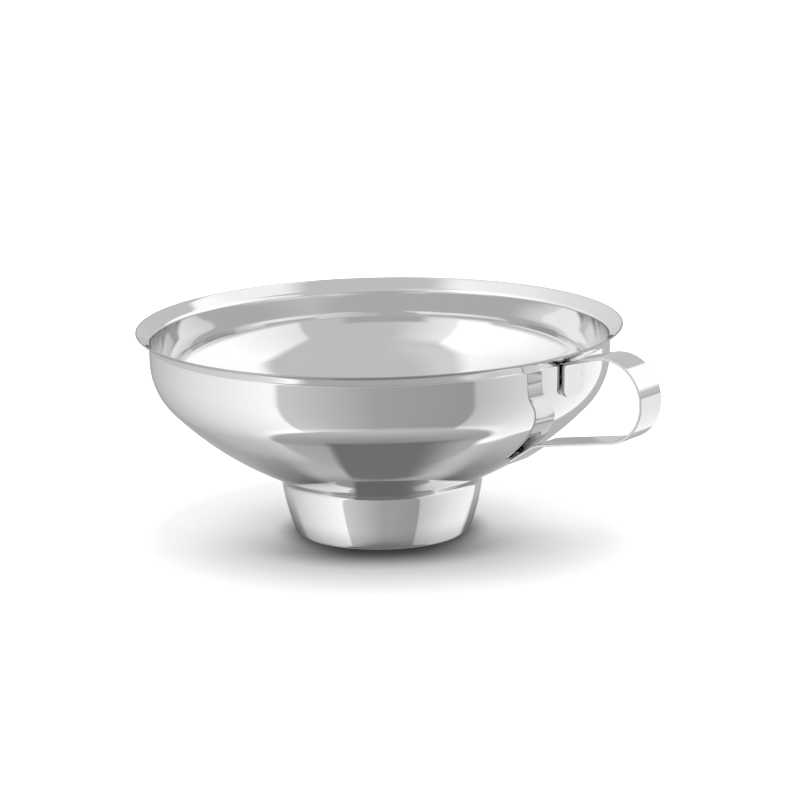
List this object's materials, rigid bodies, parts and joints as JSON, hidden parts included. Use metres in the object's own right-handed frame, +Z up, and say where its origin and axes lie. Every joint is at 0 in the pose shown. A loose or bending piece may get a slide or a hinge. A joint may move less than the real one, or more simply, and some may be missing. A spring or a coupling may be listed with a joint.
{
  "type": "canning funnel",
  "caption": "Polished steel canning funnel: wide flared bowl, short tapered spout for jar mouths, and a spot-welded strap loop handle.",
  "frame": {"origin": "on the ground plane under the middle of the whole outline, halfway between the rim's far side and the outside of the handle loop", "axes": "+Z up along the funnel's axis, from the spout's foot towards the rim; +X towards the handle; +Y to the left of the handle seen from behind the funnel"},
  "size_m": [0.1626, 0.14, 0.0605],
  "materials": {
    "drawn_sheet": "polished",
    "strap": "polished",
    "weld": "satin"
  },
  "bodies": {
    "root": {"funnel_body": "drawn_sheet", "strap_handle": "strap", "upper_spot_weld_left": "weld", "upper_spot_weld_right": "weld", "lower_spot_weld_left": "weld", "lower_spot_weld_right": "weld"}
  },
  "joints": []
}
